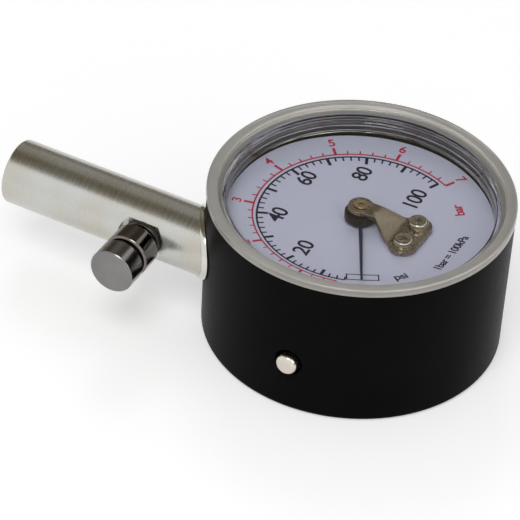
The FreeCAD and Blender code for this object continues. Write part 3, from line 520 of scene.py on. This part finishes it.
def rim_outline():
    """Radius and height from the window's edge over the rim to the top of the skirt."""
    inner = rim_radius - RIM_WIDTH
    spots = [(radius, window_top) for radius in WINDOW_RINGS]
    spots += arc((inner - 0.3, window_top + 0.3), 0.3, -90, 0)
    spots += arc((inner + 0.2, rim_top - 0.2), 0.2, 180, 90)
    spots += arc((rim_radius - RIM_ROUND, rim_top - RIM_ROUND), RIM_ROUND, 90, 0)
    spots += [(rim_radius, case_top + 0.1), (rim_radius - 0.1, case_top)]
    return spots


def skirt_outline():
    """Radius, height and thread share, down the skirt and back inside to the window."""
    top = case_top - 0.15
    low = skirt_low + 0.25
    spots = [(skirt_radius - THREAD_DEPTH, case_top, 0)]
    for step in range(THREAD_STEPS + 1):
        height = top + (low - top) * step / THREAD_STEPS
        spots.append((skirt_radius - THREAD_DEPTH, height, 1))
    inner = skirt_radius - SKIRT_WALL
    spots.append((skirt_radius - THREAD_DEPTH, skirt_low, 0))
    spots.append((inner, skirt_low, 0))
    for radius, height in arc((inner - 0.3, window_base - 0.3), 0.3, 0, 90):
        spots.append((radius, height, 0))
    spots += [(radius, window_base, 0) for radius in reversed(WINDOW_RINGS)]
    return spots


lens_outline = [(radius, height, 0) for radius, height in rim_outline()] + skirt_outline()
RIM_START = len(WINDOW_RINGS) + 5
RIM_STOP = len(rim_outline())
print("lens outline points:", len(lens_outline), "skirt radius", round(skirt_radius, 2))

# %% Sweep the lens


def thread_height(angle, height):
    """How far the thread stands out at this angle and height, with flat crests."""
    phase = (height / THREAD_PITCH + angle / math.tau) % 1.0
    ridge = 1 - abs(phase - 0.5) * 2
    return THREAD_DEPTH * min(1.0, max(0.0, (ridge - 0.2) * 1.8))


def sweep_lens():
    """Turn the outline round the axis and close it at the middle of both window faces."""
    mesh = bmesh.new()
    rings = []
    for step in range(LENS_STEPS):
        angle = math.tau * step / LENS_STEPS
        ring = []
        for radius, height, share in lens_outline:
            reach = radius + share * thread_height(angle, height)
            spot = Vector((reach * math.cos(angle), reach * math.sin(angle), height)) * MM
            ring.append(mesh.verts.new(spot))
        rings.append(ring)
    top = mesh.verts.new(Vector((0, 0, window_top)) * MM)
    low = mesh.verts.new(Vector((0, 0, window_base)) * MM)
    for step, ring in enumerate(rings):
        following = rings[(step + 1) % LENS_STEPS]
        mesh.faces.new((top, ring[0], following[0]))
        mesh.faces.new((low, following[-1], ring[-1]))
        for index in range(len(ring) - 1):
            face = mesh.faces.new(
                (ring[index], ring[index + 1], following[index + 1], following[index]))
            face.material_index = int(RIM_START <= index < RIM_STOP)
    bmesh.ops.recalc_face_normals(mesh, faces=mesh.faces)
    data = bpy.data.meshes.new("threaded_lens")
    mesh.to_mesh(data)
    mesh.free()
    data.shade_smooth()
    data.set_sharp_from_angle(angle=math.radians(42))
    return data


def add_piece(name, data, material, body):
    """Link a new mesh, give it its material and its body."""
    piece = bpy.data.objects.new(name, data)
    bpy.context.scene.collection.objects.link(piece)
    data.materials.append(material)
    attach(piece, body)
    return piece


threaded_lens = add_piece("threaded_lens", sweep_lens(), clear_plastic,
                          "gauge_body")
threaded_lens.data.materials.append(rim_plastic)
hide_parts("lens")
print("lens vertices:", len(threaded_lens.data.vertices))

# %% [markdown]
# The print on the dial is ink of a real, tiny thickness, so it never flickers against the
# ground. All of it is laid out in polar terms from three facts: where zero lies, how far one
# psi turns the pointer, and how many psi make a bar. The whole dial sits turned a little to
# the left on its screws, as in the photograph.

# %% Scale layout
ZERO_ANGLE = 207.9
DEGREES_PER_PSI = 2.309
PSI_PER_BAR = 14.5038
DIAL_TURN = 2.4
INK_HEIGHT = 0.03
INK_LIFT = 0.01
PSI_RADIUS = 18.36
BAR_RADIUS = 19.17
FIRST_PSI = 4
LAST_PSI = 100
LAST_BAR = 7


def polar(radius, degrees):
    """A point on the dial in millimetres."""
    angle = math.radians(degrees)
    return Vector((radius * math.cos(angle), radius * math.sin(angle)))


def psi_angle(psi):
    """Direction of a pressure on the dial, in degrees from three o'clock."""
    return ZERO_ANGLE - psi * DEGREES_PER_PSI


def bar_angle(bars):
    """The same for a pressure in bar."""
    return psi_angle(bars * PSI_PER_BAR)


print("sweep:", round(psi_angle(0) - psi_angle(LAST_PSI), 1), "degrees")

# %% Ink helpers


def tick(degrees, inner, outer, width):
    """Four corners of a radial mark."""
    along = polar(1, degrees)
    side = Vector((-along.y, along.x)) * width / 2
    return [along * inner - side, along * outer - side, along * outer + side,
            along * inner + side]


def curved_line(radius, start, stop, width, step=2.0):
    """Small four-cornered runs that make an arc."""
    count = max(1, round(abs(stop - start) / step))
    runs = []
    for index in range(count):
        one = start + (stop - start) * index / count
        two = start + (stop - start) * (index + 1) / count
        runs.append([polar(radius - width / 2, one), polar(radius - width / 2, two),
                     polar(radius + width / 2, two), polar(radius + width / 2, one)])
    return runs


def ink_prisms(name, outlines):
    """A mesh of thin prisms on the dial, one for each outline."""
    mesh = bmesh.new()
    low = (dial_face + INK_LIFT) * MM
    high = low + INK_HEIGHT * MM
    for outline in outlines:
        floor = [mesh.verts.new((p.x * MM, p.y * MM, low)) for p in outline]
        roof = [mesh.verts.new((p.x * MM, p.y * MM, high)) for p in outline]
        mesh.faces.new(roof)
        mesh.faces.new(list(reversed(floor)))
        for index in range(len(outline)):
            after = (index + 1) % len(outline)
            mesh.faces.new((floor[index], floor[after], roof[after], roof[index]))
    bmesh.ops.recalc_face_normals(mesh, faces=mesh.faces)
    data = bpy.data.meshes.new(name)
    mesh.to_mesh(data)
    mesh.free()
    return data


# %% Navy psi scale
psi_marks = curved_line(PSI_RADIUS, psi_angle(FIRST_PSI), psi_angle(LAST_PSI), 0.36)
for psi in range(FIRST_PSI, LAST_PSI + 1, 2):
    major = psi % 10 == 0
    length = 2.0 if major else 1.15
    width = 0.58 if major else 0.3
    psi_marks.append(tick(psi_angle(psi), PSI_RADIUS - length, PSI_RADIUS, width))
psi_scale = add_piece("dial_psi_scale", ink_prisms("dial_psi_scale", psi_marks), navy_ink,
                      "gauge_body")
print("psi marks:", len(psi_marks))

# %% Red bar scale
FIRST_BAR_STEP = 2
bar_marks = curved_line(BAR_RADIUS, bar_angle(FIRST_BAR_STEP / 5), bar_angle(LAST_BAR), 0.32)
for step in range(FIRST_BAR_STEP, LAST_BAR * 5 + 1):
    major = step % 5 == 0
    length = 2.0 if major else 0.95
    width = 0.52 if major else 0.26
    bar_marks.append(tick(bar_angle(step / 5), BAR_RADIUS, BAR_RADIUS + length, width))
bar_scale = add_piece("dial_bar_scale", ink_prisms("dial_bar_scale", bar_marks), red_ink,
                      "gauge_body")
print("bar marks:", len(bar_marks))

# %% Zero box
ZERO_BOX_RADIUS = 16.9
ZERO_BOX_ANGLE = 208.9
ZERO_BOX_SIDES = (1.9, 5.7)
ZERO_BOX_LINE = 0.24


def box_frame(centre, degrees, sides, line):
    """Four bars that frame a box which faces along a direction."""
    along = polar(1, degrees)
    across = Vector((-along.y, along.x))
    half_long, half_wide = sides[0] / 2, sides[1] / 2
    bars = []
    for sign in (-1, 1):
        for middle, run, reach in (
                (along * half_long * sign, across, half_wide + line / 2),
                (across * half_wide * sign, along, half_long - line / 2)):
            thick = Vector((-run.y, run.x)) * line / 2
            spot = centre + middle
            bars.append([spot - run * reach - thick, spot + run * reach - thick,
                         spot + run * reach + thick, spot - run * reach + thick])
    return bars


zero_bars = box_frame(polar(ZERO_BOX_RADIUS, ZERO_BOX_ANGLE), ZERO_BOX_ANGLE,
                      ZERO_BOX_SIDES, ZERO_BOX_LINE)
zero_box = add_piece("dial_zero_box", ink_prisms("dial_zero_box", zero_bars), navy_ink,
                     "gauge_body")
print("zero box bars:", len(zero_bars))

# %% [markdown]
# Numbers and units are set as text, turned into meshes, and scaled until the tall letters
# have the measured height. The psi numbers stand upright, the bar numbers lean outwards and
# the units follow the circle below.

# %% Lettering
LETTER_SPACING = 0.92


def letter_mesh(text, height, weight):
    """A flat mesh of a word, centred, with tall letters of the given height."""
    curve = bpy.data.curves.new("letters", "FONT")
    curve.body = text
    curve.align_x = "CENTER"
    curve.space_character = LETTER_SPACING
    curve.offset = weight
    curve.extrude = 0.5
    holder = bpy.data.objects.new("letters", curve)
    bpy.context.scene.collection.objects.link(holder)
    bpy.context.view_layer.update()
    data = bpy.data.meshes.new_from_object(holder.evaluated_get(
        bpy.context.evaluated_depsgraph_get()))
    bpy.data.objects.remove(holder)
    bpy.data.curves.remove(curve)
    spots = [vertex.co for vertex in data.vertices]
    low = min(spot.y for spot in spots)
    high = max(spot.y for spot in spots)
    tall = high if low < -0.05 else high - low
    middle = sum((min(s.x for s in spots), max(s.x for s in spots))) / 2
    shift = Matrix.Translation((-middle, -(high + max(low, 0)) / 2, 0))
    grow = Matrix.Diagonal((height / tall, height / tall, INK_HEIGHT, 1))
    data.transform(grow @ shift)
    return data


def letter_label(name, text, centre, degrees, height, material, weight=0.012, widen=1.0):
    """One word on the dial: centre in millimetres, turned by degrees."""
    data = letter_mesh(text, height, weight)
    level = dial_face + INK_LIFT + INK_HEIGHT / 2
    turn = Matrix.Rotation(math.radians(degrees), 4, "Z")
    spot = Matrix.Translation((centre[0] * MM, centre[1] * MM, level * MM))
    wide = Matrix.Diagonal((widen, 1, 1, 1))
    data.transform(spot @ turn @ Matrix.Scale(MM, 4) @ wide)
    return add_piece(name, data, material, "gauge_body")


# %% Numbers
PSI_LABELS = {20: (-12.3, 4.9), 40: (-6.5, 13.2), 60: (5.65, 13.8), 80: (12.2, 5.9),
              100: (10.95, -5.5)}
PSI_LABEL_HEIGHT = 3.05
BAR_LABEL_RADIUS = 22.75
BAR_LABEL_HEIGHT = 2.05
for psi, centre in PSI_LABELS.items():
    letter_label("dial_psi_%d" % psi, str(psi), centre, DIAL_TURN, PSI_LABEL_HEIGHT, navy_ink,
                 weight=0.012)
for bars in range(1, LAST_BAR + 1):
    angle = bar_angle(bars)
    letter_label("dial_bar_%d" % bars, str(bars), polar(BAR_LABEL_RADIUS, angle), angle - 90,
                 BAR_LABEL_HEIGHT, red_ink, weight=0.014)
print("numbers:", len(PSI_LABELS) + LAST_BAR)

# %% Units
letter_label("dial_unit_psi", "psi", polar(17.6, 231.5), 321.5, 1.75, navy_ink, weight=0.018)
letter_label("dial_unit_bar", "bar", polar(18.1, -48.7), 41.3, 1.85, red_ink, weight=0.024)
letter_label("dial_unit_kpa", "1bar = 100kPa", (0.2, -18.2), 1.0, 1.75, navy_ink,
             weight=0.02, widen=0.93)
print("units:", 3)

# %% [markdown]
# The table and the light come last. The floor is pale and keeps the shadow. For the camera,
# for gloss and for glass it also glows a little, so that it reads as white. Two dark cards
# stand outside the picture, seen only in reflections, because polished metal looks like
# metal only when it has something dark to mirror.

# %% Floor and world
FLOOR_SIZE = 6.0
FLOOR_GLOW = 0.42
AMBIENT = 0.42


def seen_by_eye(tree):
    """One for camera, gloss and glass rays, nought for light that falls on the object."""
    rays = tree.nodes.new("ShaderNodeLightPath")
    gloss = math_node(tree, "MAXIMUM", rays.outputs["Is Camera Ray"],
                      rays.outputs["Is Glossy Ray"])
    seen = math_node(tree, "MAXIMUM", gloss, rays.outputs["Is Transmission Ray"])
    scattered = math_node(tree, "MINIMUM", rays.outputs["Diffuse Depth"], 1.0)
    return math_node(tree, "MULTIPLY", seen, math_node(tree, "SUBTRACT", 1.0, scattered))


def make_floor():
    """A pale table top."""
    bpy.ops.mesh.primitive_plane_add(size=FLOOR_SIZE)
    floor = bpy.context.active_object
    floor.name = "floor"
    material = finish("pale_table", (0.8, 0.8, 0.8), (0.78, 0.78, 0.78), 0.0, 0.7,
                      grain_group, 0.02, 300.0, mottle=(3.0, 1.0))
    tree = material.node_tree
    shader = tree.nodes["Principled BSDF"]
    shader.inputs["Specular IOR Level"].default_value = 0.1
    shader.inputs["Emission Color"].default_value = (1, 1, 1, 1)
    glow = math_node(tree, "MULTIPLY", seen_by_eye(tree), FLOOR_GLOW)
    tree.links.new(glow, shader.inputs["Emission Strength"])
    floor.data.materials.append(material)
    return floor


def make_world():
    """White for the eye, a softer even light for the object."""
    world = bpy.data.worlds.new("studio")
    bpy.context.scene.world = world
    world.use_nodes = True
    tree = world.node_tree
    background = tree.nodes["Background"]
    background.inputs["Color"].default_value = (1, 1, 1, 1)
    lift = math_node(tree, "MULTIPLY", seen_by_eye(tree), 1.0 - AMBIENT)
    tree.links.new(math_node(tree, "ADD", lift, AMBIENT), background.inputs["Strength"])
    return world


floor = make_floor()
world = make_world()
print("floor", floor.name, "world", world.name)

# %% Lamps


def soft_lamp(name, place, aim, size, power, colour=(1, 1, 1)):
    """A square soft box that looks at a point."""
    data = bpy.data.lights.new(name, "AREA")
    data.size = size
    data.energy = power
    data.color = colour
    lamp = bpy.data.objects.new(name, data)
    bpy.context.scene.collection.objects.link(lamp)
    lamp.location = place
    lamp.rotation_mode = "QUATERNION"
    lamp.rotation_quaternion = (Vector(aim) - Vector(place)).to_track_quat("-Z", "Y")
    return lamp


middle = (0, 0.01, 0.015)
soft_lamp("key_lamp", (-0.45, -0.05, 0.75), middle, 0.35, 2.2)
soft_lamp("fill_lamp", (-0.3, -0.75, 0.5), middle, 0.6, 0.9, (1.0, 0.97, 0.93))
soft_lamp("back_lamp", (0.55, 0.35, 0.7), middle, 0.3, 0.8, (0.95, 0.97, 1.0))
print("lamps: 3")

# %% Dark cards


def dark_card(name, place, aim, width, height, colour, second):
    """A dark board that only reflections see; it glows faintly in its own colour."""
    bpy.ops.mesh.primitive_plane_add(size=1)
    card = bpy.context.active_object
    card.name = name
    card.scale = (width, height, 1)
    card.location = place
    card.rotation_mode = "QUATERNION"
    card.rotation_quaternion = (Vector(aim) - Vector(place)).to_track_quat("Z", "Y")
    material = bpy.data.materials.new(name + "_felt")
    material.use_nodes = True
    tree = material.node_tree
    shader = tree.nodes["Principled BSDF"]
    clouds = place_group(tree, mottle_group, Scale=6.0, Contrast=2.5)
    tint = mix_colours(tree, clouds.outputs["Mask"], colour, second)
    shader.inputs["Base Color"].default_value = (0, 0, 0, 1)
    shader.inputs["Specular IOR Level"].default_value = 0.0
    shader.inputs["Emission Strength"].default_value = 1.0
    tree.links.new(tint, shader.inputs["Emission Color"])
    card.data.materials.append(material)
    card.visible_camera = False
    card.visible_diffuse = False
    card.visible_shadow = False
    return card


dark_card("ceiling_card", (0.17, 0.2, 0.48), middle, 0.9, 1.4,
          (0.17, 0.14, 0.088), (0.11, 0.09, 0.06))
dark_card("side_card", (0.05, -0.7, 0.1), middle, 0.6, 0.2,
          (0.06, 0.055, 0.05), (0.04, 0.036, 0.03))
print("cards: 2")

# %% [markdown]
# Colours are shown as they are, with no film look.

# %% Colour
bpy.context.scene.view_settings.view_transform = "Standard"
bpy.context.view_layer.update()
